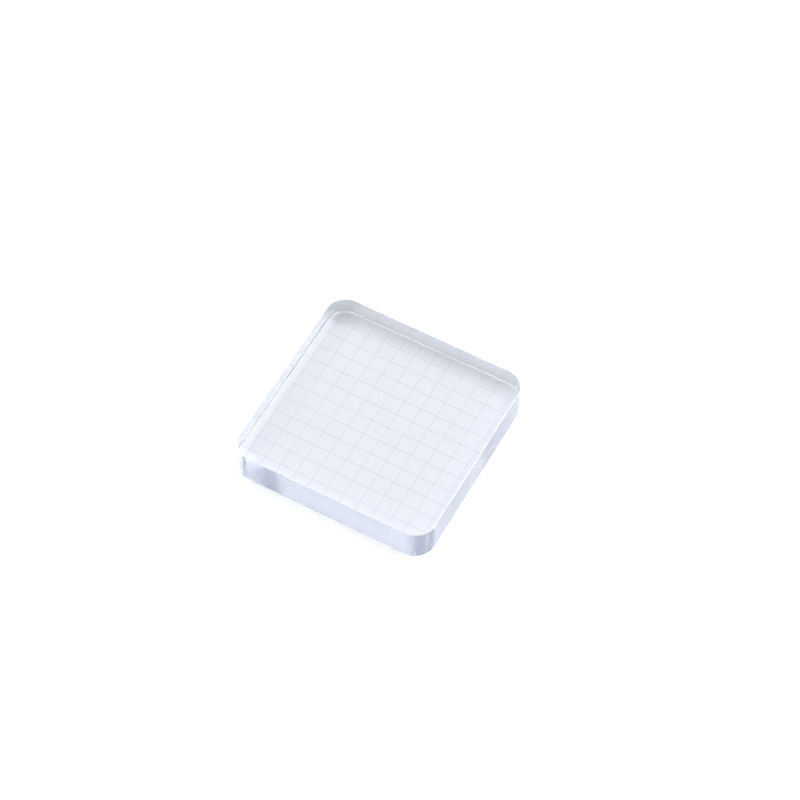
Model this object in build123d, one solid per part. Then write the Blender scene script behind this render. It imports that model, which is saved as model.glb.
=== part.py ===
from build123d import *
import os

# A solid, square block of clear glass. A fine square grid is ruled in its underside
# and filled with paint, and is read from above, through the glass.
# Millimetres. Z is up, with the origin at the middle of the underside.
# X runs along the front wall and Y towards the back wall.

# Driving dimensions of the block
block_side = 61.2
block_height = 10.9
corner_radius = 6.2
edge_radius = 0.4

# Driving dimensions of the ruling
grid_pitch = 5.0
rules_each_way = 12
left_margin = 2.8
front_margin = 1.5
rule_width = 0.15
groove_depth = 0.04
paint_recess = 0.01
rule_end_inset = 0.6


def rounded_slab(inset, height):
    """The block's outline, drawn in by inset on every side and raised to height."""
    side = block_side - 2 * inset
    return extrude(RectangleRounded(side, side, corner_radius - inset), height)


def rule_places(margin):
    """Where the rules' centre lines cross an axis, counted from the block's middle."""
    first = -block_side / 2 + margin
    return [first + number * grid_pitch for number in range(rules_each_way)]


def strip(size_x, size_y, place, base, top):
    """A straight strip between two levels, ending where the ruled area ends."""
    whole = Box(size_x, size_y, top - base, align=(Align.CENTER, Align.CENTER, Align.MIN))
    return Pos(place[0], place[1], base) * whole & rounded_slab(rule_end_inset, groove_depth)


def lengthwise_strips(base):
    """The strips that run along X, front to back."""
    places = rule_places(front_margin)
    return [strip(block_side, rule_width, (0, y), base, groove_depth) for y in places]


def crosswise_strips(base):
    """The strips that run along Y, left to right."""
    places = rule_places(left_margin)
    return [strip(rule_width, block_side, (x, 0), base, groove_depth) for x in places]


def make_block():
    """The glass, with polished edges and a groove for every rule."""
    glass = rounded_slab(0, block_height)
    outline_edges = glass.edges().group_by(Axis.Z)
    glass = fillet(outline_edges[0] + outline_edges[-1], edge_radius)
    return glass - (lengthwise_strips(0) + crosswise_strips(0))


def make_rules():
    """The paint in the grooves: whole lengthwise, and broken crosswise at each crossing."""
    lengthwise = lengthwise_strips(paint_recess)
    crosswise = [rule - lengthwise for rule in crosswise_strips(paint_recess)]
    rules = {}
    for direction, strips in (("lengthwise", lengthwise), ("crosswise", crosswise)):
        for number, rule in enumerate(strips, start=1):
            rules[f"{direction}_rule_{number:02d}"] = rule
    return rules


os.makedirs("parts", exist_ok=True)
export_step(make_block(), "parts/glass_block.step")
for name, rule in make_rules().items():
    export_step(rule, f"parts/{name}.step")
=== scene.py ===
"""A solid square block of clear glass, with a fine painted grid in its underside, on a white bench."""

import math

import bmesh
import bpy
from mathutils import Matrix, Vector


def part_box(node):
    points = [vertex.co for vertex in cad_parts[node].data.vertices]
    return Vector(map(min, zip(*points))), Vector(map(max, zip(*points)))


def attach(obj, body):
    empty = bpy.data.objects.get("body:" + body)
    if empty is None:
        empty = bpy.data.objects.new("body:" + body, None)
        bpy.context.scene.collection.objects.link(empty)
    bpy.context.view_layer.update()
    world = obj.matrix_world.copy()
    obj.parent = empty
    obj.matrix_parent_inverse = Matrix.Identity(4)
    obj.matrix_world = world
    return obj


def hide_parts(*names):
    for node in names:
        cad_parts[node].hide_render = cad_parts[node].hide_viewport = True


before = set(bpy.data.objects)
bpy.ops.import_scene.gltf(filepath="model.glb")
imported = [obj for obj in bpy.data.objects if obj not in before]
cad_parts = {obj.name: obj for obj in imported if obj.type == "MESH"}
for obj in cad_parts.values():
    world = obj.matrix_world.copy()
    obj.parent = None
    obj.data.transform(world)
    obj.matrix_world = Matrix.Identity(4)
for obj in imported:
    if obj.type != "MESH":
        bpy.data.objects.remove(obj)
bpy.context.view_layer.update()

MM = 0.001

# The block, whose size is the frame's
block_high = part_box("glass_block")[1]
half_side = block_high.x
block_height = block_high.z
corner_radius = 6.2 * MM
edge_radius = 0.4 * MM
corner_steps = 40
edge_steps = 8

# The grooves, which leave a film of air round the paint
rule_names = sorted(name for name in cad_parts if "_rule_" in name)
paint_clearance = 0.004 * MM
crossing_step = 0.002 * MM

# Glass
glass_ior = 1.52
glass_tint = (0.757, 0.777, 0.803, 1.0)
glass_depth_colour = (0.14, 0.24, 0.52, 1.0)
glass_depth_density = 4.0

# Glass surfaces. Spans are of how upright the normal is, which is 0 on a wall and 1 on a flat face.
wall_span = (0.02, 0.10)
arris_start_span = (0.10, 0.25)
arris_end_span = (0.90, 0.98)
polish_roughness = 0.004
wall_roughness = 0.22
wall_haze = 0.04
arris_roughness = 0.7
arris_tint = (0.95, 0.97, 1.0, 1.0)
arris_haze = 0.50

# A corner is where the normal's X and Y are both large: this span is of one times the other.
corner_span = (0.05, 0.25)

# Wear and relief on the glass. Cells are to the metre, and spans are of noise that goes from 0 to 1.
smudge_cells = 70.0
smudge_detail = 4.0
smudge_span = (0.50, 0.75)
smudge_roughness = 0.02
scratch_cells = Vector((900, 45, 900))
scratch_span = (0.73, 0.77)
scratch_roughness = 0.12
waviness_cells = 140.0
waviness_depth = 0.003 * MM
saw_mark_cells = Vector((40, 40, 2200))
saw_mark_detail = 3.0
saw_mark_depth = 0.003 * MM
saw_mark_unevenness = (0.6, 1.4)
dapple_cells = 650.0
dapple_detail = 3.0
dapple_depth = 0.10 * MM
grit_cells = 9000.0
grit_depth = 0.02 * MM
grit_unevenness = (0.8, 1.2)

# Rule paint
paint_dark = (0.84, 0.84, 0.85, 1.0)
paint_pale = (0.94, 0.94, 0.95, 1.0)
paint_patch_cells = 900.0
paint_grain_cells = 9000.0
paint_grain_depth = 0.01 * MM
paint_roughness = (0.45, 0.70)

# Camera
camera_azimuth = math.radians(27.04)
camera_elevation = math.radians(55.94)
camera_roll = math.radians(1.83)
camera_distance = 0.859
camera_lens = 138.2
camera_target = Vector((0.97 * MM, 10.1 * MM, block_height / 2))

# Bench and light
bench_size = 4.0
bench_gap = 0.05 * MM
bench_dark = (0.89, 0.89, 0.89, 1.0)
bench_pale = (0.91, 0.91, 0.91, 1.0)
bench_patch_cells = 30.0
bench_tooth_cells = 2500.0
bench_tooth_depth = 0.02 * MM
bench_roughness = (0.6, 0.8)
bench_glow = 0.20
sky_colour = (1.0, 1.0, 1.0, 1.0)
sky_strength = 1.35
sky_dim_share = 0.05
sky_dim_side = Vector((0.68, -0.73, 0))
sky_dim_span = (0.1, 0.75)
softbox_place = Vector((0.45, 0.50, 1.25))
softbox_size = 1.0
softbox_power = 7.6
softbox_colour = (1.0, 1.0, 1.0)


# ---------------------------------------------------------------- shader writing

class Value:
    """A number or vector on a shader socket, so that shader maths reads as ordinary expressions."""

    def __init__(self, shader, socket):
        self.shader = shader
        self.socket = socket

    def _math(self, operation, *values):
        return self.shader.add("ShaderNodeMath", {"operation": operation}, dict(enumerate(values)))

    def __add__(self, other):
        return self._math("ADD", self, other)

    __radd__ = __add__

    def __sub__(self, other):
        return self._math("SUBTRACT", self, other)

    def __rsub__(self, other):
        return self._math("SUBTRACT", other, self)

    def __mul__(self, other):
        return self._math("MULTIPLY", self, other)

    __rmul__ = __mul__

    def __abs__(self):
        return self._math("ABSOLUTE", self)


class Shader:
    """The nodes of one material or world."""

    def __init__(self, owner):
        owner.use_nodes = True
        self.tree = owner.node_tree
        self.tree.nodes.clear()

    def add(self, kind, settings=None, sockets=None, output=0):
        """Adds a node, gives it its settings and then its sockets, and returns one output."""
        node = self.tree.nodes.new(kind)
        for name, setting in (settings or {}).items():
            setattr(node, name, setting)
        for name, value in (sockets or {}).items():
            if isinstance(value, Value):
                self.tree.links.new(value.socket, node.inputs[name])
            else:
                node.inputs[name].default_value = value
        return None if output is None else Value(self, node.outputs[output])

    def place(self):
        """Where a point is on the object, in metres."""
        return self.add("ShaderNodeTexCoord", output="Object")

    def streaks(self, place, cells, detail=2.0):
        """Noise with its own number of cells to the metre along each axis."""
        stretched = self.add("ShaderNodeVectorMath", {"operation": "MULTIPLY"}, {0: place, 1: cells})
        return self.noise(stretched, 1.0, detail)

    def sizes(self, vector):
        """How large a vector's X, Y and Z are, whatever their signs."""
        parts = {"Vector": vector}
        return [abs(self.add("ShaderNodeSeparateXYZ", None, parts, output=axis)) for axis in "XYZ"]

    def noise(self, place, cells, detail=2.0):
        """Soft random variation from 0 to 1, with this many cells to the metre."""
        return self.add("ShaderNodeTexNoise", None, {"Vector": place, "Scale": cells, "Detail": detail})

    def ramp(self, value, span):
        """0 up to the start of the span, 1 from its end on, and smooth between."""
        sockets = {"Value": value, "From Min": span[0], "From Max": span[1]}
        return self.add("ShaderNodeMapRange", {"interpolation_type": "SMOOTHSTEP"}, sockets)

    def blend(self, factor, first, second):
        """A colour that goes from first to second as factor goes from 0 to 1."""
        sockets = {"Factor": factor, 6: first, 7: second}
        return self.add("ShaderNodeMix", {"data_type": "RGBA"}, sockets, output=2)

    def bump(self, height):
        """A surface normal for a relief whose height is in metres."""
        return self.add("ShaderNodeBump", None, {"Height": height, "Distance": 1.0})

    def finish(self, surface, volume=None):
        """Sends the surface, and a volume if there is one, to the material's output."""
        sockets = {"Surface": surface}
        if volume:
            sockets["Volume"] = volume
        self.add("ShaderNodeOutputMaterial", None, sockets, output=None)


def between(ends, share):
    """What lies this share of the way from the first end to the second."""
    return ends[0] + (ends[1] - ends[0]) * share


def clear_glass():
    """Clear glass: polished faces with faint wear, walls a little less polished, and ground edges."""
    material = bpy.data.materials.new("clear_glass")
    shader = Shader(material)
    place = shader.place()
    across, along, upright = shader.sizes(shader.add("ShaderNodeNewGeometry", output="Normal"))
    wall = 1 - shader.ramp(upright, wall_span)
    arris = shader.ramp(upright, arris_start_span) * (1 - shader.ramp(upright, arris_end_span))
    corner = wall * shader.ramp(across * along, corner_span)
    saw_marks = shader.streaks(place, saw_mark_cells, saw_mark_detail)
    grit = shader.noise(place, grit_cells)
    dapple = shader.noise(place, dapple_cells, dapple_detail)
    smudge = shader.ramp(shader.noise(place, smudge_cells, smudge_detail), smudge_span)
    scratch = shader.ramp(shader.streaks(place, scratch_cells), scratch_span)
    roughness = polish_roughness + smudge_roughness * smudge + scratch_roughness * scratch
    roughness = roughness + wall_roughness * wall * between(saw_mark_unevenness, saw_marks)
    roughness = roughness + arris_roughness * arris * between(grit_unevenness, grit)
    relief = waviness_depth * shader.noise(place, waviness_cells)
    relief = relief + saw_mark_depth * saw_marks * wall
    relief = relief + dapple_depth * dapple * corner
    relief = relief + grit_depth * grit * arris
    surface = shader.add("ShaderNodeBsdfPrincipled", None, {
        "Base Color": shader.blend(arris, glass_tint, arris_tint),
        "Roughness": roughness,
        "IOR": glass_ior,
        "Transmission Weight": 1.0,
        "Normal": shader.bump(relief),
    })
    depth = shader.add("ShaderNodeVolumeAbsorption", None, {
        "Color": glass_depth_colour,
        "Density": glass_depth_density,
    })
    milky = shader.add("ShaderNodeBsdfDiffuse", None, {"Color": arris_tint})
    haze = arris * arris_haze + wall * wall_haze
    shader.finish(shader.add("ShaderNodeMixShader", None, {0: haze, 1: surface, 2: milky}), depth)
    return material


def rule_paint():
    """Thin pale grey paint, uneven as it settles in its groove."""
    material = bpy.data.materials.new("rule_paint")
    shader = Shader(material)
    place = shader.place()
    grain = shader.noise(place, paint_grain_cells)
    surface = shader.add("ShaderNodeBsdfPrincipled", None, {
        "Base Color": shader.blend(shader.noise(place, paint_patch_cells), paint_dark, paint_pale),
        "Roughness": between(paint_roughness, grain),
        "Normal": shader.bump(grain * paint_grain_depth),
    })
    shader.finish(surface)
    return material


def bench_white():
    """Matt white board with a fine tooth."""
    material = bpy.data.materials.new("bench_white")
    shader = Shader(material)
    place = shader.place()
    tooth = shader.noise(place, bench_tooth_cells)
    surface = shader.add("ShaderNodeBsdfPrincipled", None, {
        "Base Color": shader.blend(shader.noise(place, bench_patch_cells), bench_dark, bench_pale),
        "Roughness": between(bench_roughness, tooth),
        "Normal": shader.bump(tooth * bench_tooth_depth),
        "Emission Color": (1.0, 1.0, 1.0, 1.0),
        "Emission Strength": bench_glow,
    })
    shader.finish(surface)
    return material


# ---------------------------------------------------------------- block

def outline():
    """The plan outline, anticlockwise, as pairs of corner centre and outward direction."""
    centre = half_side - corner_radius
    points = []
    for quarter, (side_x, side_y) in enumerate(((1, -1), (1, 1), (-1, 1), (-1, -1))):
        corner_centre = Vector((side_x * centre, side_y * centre, 0))
        for step in range(corner_steps + 1):
            angle = (quarter - 1 + step / corner_steps) * math.pi / 2
            points.append((corner_centre, Vector((math.cos(angle), math.sin(angle), 0))))
    return points


def edge_round(first_tilt):
    """A quarter round from first_tilt on, as pairs of outward and upward shares of its radius."""
    tilts = [first_tilt + step * math.pi / 2 / edge_steps for step in range(edge_steps + 1)]
    return [(math.cos(tilt), math.sin(tilt)) for tilt in tilts]


def wall_rings():
    """The wall from the underside to the top face, as pairs of inset and height."""
    rings = []
    for outward, upward in edge_round(-math.pi / 2):
        rings.append((edge_radius * (1 - outward), edge_radius * (1 + upward)))
    for outward, upward in edge_round(0):
        rings.append((edge_radius * (1 - outward), block_height - edge_radius * (1 - upward)))
    return rings


def plain_block():
    """The block before its grooves are cut."""
    around = outline()
    count = len(around)
    places = []
    for inset, height in wall_rings():
        for corner_centre, direction in around:
            place = corner_centre + direction * (corner_radius - inset)
            places.append((place.x, place.y, height))
    last_ring = len(places) - count
    faces = [list(range(count))[::-1], list(range(last_ring, len(places)))]
    for ring in range(0, last_ring, count):
        for step in range(count):
            here, there = ring + step, ring + (step + 1) % count
            faces.append((here, there, there + count, here + count))
    mesh = bpy.data.meshes.new("block_glass")
    mesh.from_pydata(places, [], faces)
    block = bpy.data.objects.new("block_glass", mesh)
    bpy.context.scene.collection.objects.link(block)
    return block


def groove_cutter(direction, ceiling_step):
    """One box for each rule that runs in this direction, open below the block."""
    form = bmesh.new()
    for name in rule_names:
        if name.startswith(direction):
            low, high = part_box(name)
            low = Vector((low.x - paint_clearance, low.y - paint_clearance, -block_height))
            high = high + Vector((1, 1, 1)) * paint_clearance + Vector((0, 0, ceiling_step))
            size = Matrix.Diagonal((*(high - low), 1))
            bmesh.ops.create_cube(form, size=1, matrix=Matrix.Translation((low + high) / 2) @ size)
    mesh = bpy.data.meshes.new("groove_cutter")
    form.to_mesh(mesh)
    form.free()
    cutter = bpy.data.objects.new("groove_cutter", mesh)
    bpy.context.scene.collection.objects.link(cutter)
    return cutter


def cut_grooves(block):
    """Cuts both sets of grooves, and leaves a plain mesh."""
    cutters = [groove_cutter("lengthwise", 0), groove_cutter("crosswise", crossing_step)]
    for cutter in cutters:
        cut = block.modifiers.new("groove", "BOOLEAN")
        cut.operation = "DIFFERENCE"
        cut.solver = "EXACT"
        cut.object = cutter
    finished = block.evaluated_get(bpy.context.evaluated_depsgraph_get())
    mesh = bpy.data.meshes.new_from_object(finished)
    block.modifiers.clear()
    block.data = mesh
    for cutter in cutters:
        bpy.data.objects.remove(cutter)


def true_normal(place, face_normal):
    """The exact normal of a rounded surface, or the face's own on a flat one."""
    centre = half_side - corner_radius
    core = Vector((max(-centre, min(centre, place.x)), max(-centre, min(centre, place.y)), 0))
    outward = Vector((place.x, place.y, 0)) - core
    reach = outward.length - (corner_radius - edge_radius)
    if reach < -edge_radius or abs(face_normal.z) > 0.9999:
        return face_normal
    rise = min(0, place.z - edge_radius) + max(0, place.z - (block_height - edge_radius))
    return (outward.normalized() * max(reach, 0) + Vector((0, 0, rise))).normalized()


def smooth_rounds(mesh):
    """Gives the rounded edges and corners their exact normals, and keeps the flats flat."""
    normals = [None] * len(mesh.loops)
    for face in mesh.polygons:
        for corner in face.loop_indices:
            place = mesh.vertices[mesh.loops[corner].vertex_index].co
            normals[corner] = true_normal(place, face.normal)
    mesh.shade_smooth()
    mesh.normals_split_custom_set(normals)


def make_block():
    """The glass, in place of its CAD node."""
    block = plain_block()
    cut_grooves(block)
    smooth_rounds(block.data)
    block.data.materials.append(clear_glass())
    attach(block, "root")
    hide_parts("glass_block")


def paint_rules():
    """The rules keep their CAD shape and get their paint."""
    paint = rule_paint()
    for name in rule_names:
        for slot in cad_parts[name].material_slots:
            slot.material = paint


# ---------------------------------------------------------------- camera, bench, light

def place_camera():
    """Looks down on the block from its front right."""
    forward = Vector((
        -math.sin(camera_azimuth) * math.cos(camera_elevation),
        math.cos(camera_azimuth) * math.cos(camera_elevation),
        -math.sin(camera_elevation),
    ))
    level = Vector((math.cos(camera_azimuth), math.sin(camera_azimuth), 0))
    upward = level.cross(forward)
    right = math.cos(camera_roll) * level + math.sin(camera_roll) * upward
    up = math.cos(camera_roll) * upward - math.sin(camera_roll) * level
    data = bpy.data.cameras.new("camera")
    data.lens = camera_lens
    data.sensor_width = 36
    camera = bpy.data.objects.new("camera", data)
    turn = Matrix((right, up, -forward)).transposed().to_4x4()
    camera.matrix_world = Matrix.Translation(camera_target - forward * camera_distance) @ turn
    bpy.context.scene.collection.objects.link(camera)
    bpy.context.scene.camera = camera


def lay_bench():
    """A flat white board, a film of air below the block."""
    form = bmesh.new()
    bmesh.ops.create_grid(form, x_segments=1, y_segments=1, size=bench_size / 2)
    mesh = bpy.data.meshes.new("bench")
    form.to_mesh(mesh)
    form.free()
    bench = bpy.data.objects.new("bench", mesh)
    bench.location.z = -bench_gap
    bench.data.materials.append(bench_white())
    bpy.context.scene.collection.objects.link(bench)


def light_studio():
    """An even white surround, and one broad softbox above and behind the block."""
    world = bpy.data.worlds.new("studio")
    shader = Shader(world)
    direction = shader.add("ShaderNodeTexCoord", output="Generated")
    both = {0: direction, 1: sky_dim_side}
    towards_dim = shader.add("ShaderNodeVectorMath", {"operation": "DOT_PRODUCT"}, both, output="Value")
    dim = (1 - sky_dim_share) * shader.ramp(towards_dim, sky_dim_span)
    surround = {"Color": sky_colour, "Strength": sky_strength * (1 - dim)}
    background = shader.add("ShaderNodeBackground", None, surround)
    shader.add("ShaderNodeOutputWorld", None, {"Surface": background}, output=None)
    lamp = bpy.data.lights.new("softbox", "AREA")
    lamp.shape = "SQUARE"
    lamp.size = softbox_size
    lamp.energy = softbox_power
    lamp.color = softbox_colour
    softbox = bpy.data.objects.new("softbox", lamp)
    softbox.location = softbox_place
    softbox.rotation_mode = "QUATERNION"
    softbox.rotation_quaternion = softbox_place.to_track_quat("Z", "Y")
    scene = bpy.context.scene
    scene.world = world
    scene.collection.objects.link(softbox)
    scene.view_settings.view_transform = "Standard"


def let_light_through():
    """Light bounces many times in the block before it leaves, so the paths are long."""
    cycles = bpy.context.scene.cycles
    cycles.max_bounces = 64
    cycles.diffuse_bounces = 12
    cycles.glossy_bounces = 48
    cycles.transmission_bounces = 64
    cycles.blur_glossy = 0
    cycles.sample_clamp_indirect = 0


place_camera()
lay_bench()
light_studio()
let_light_through()
make_block()
paint_rules()
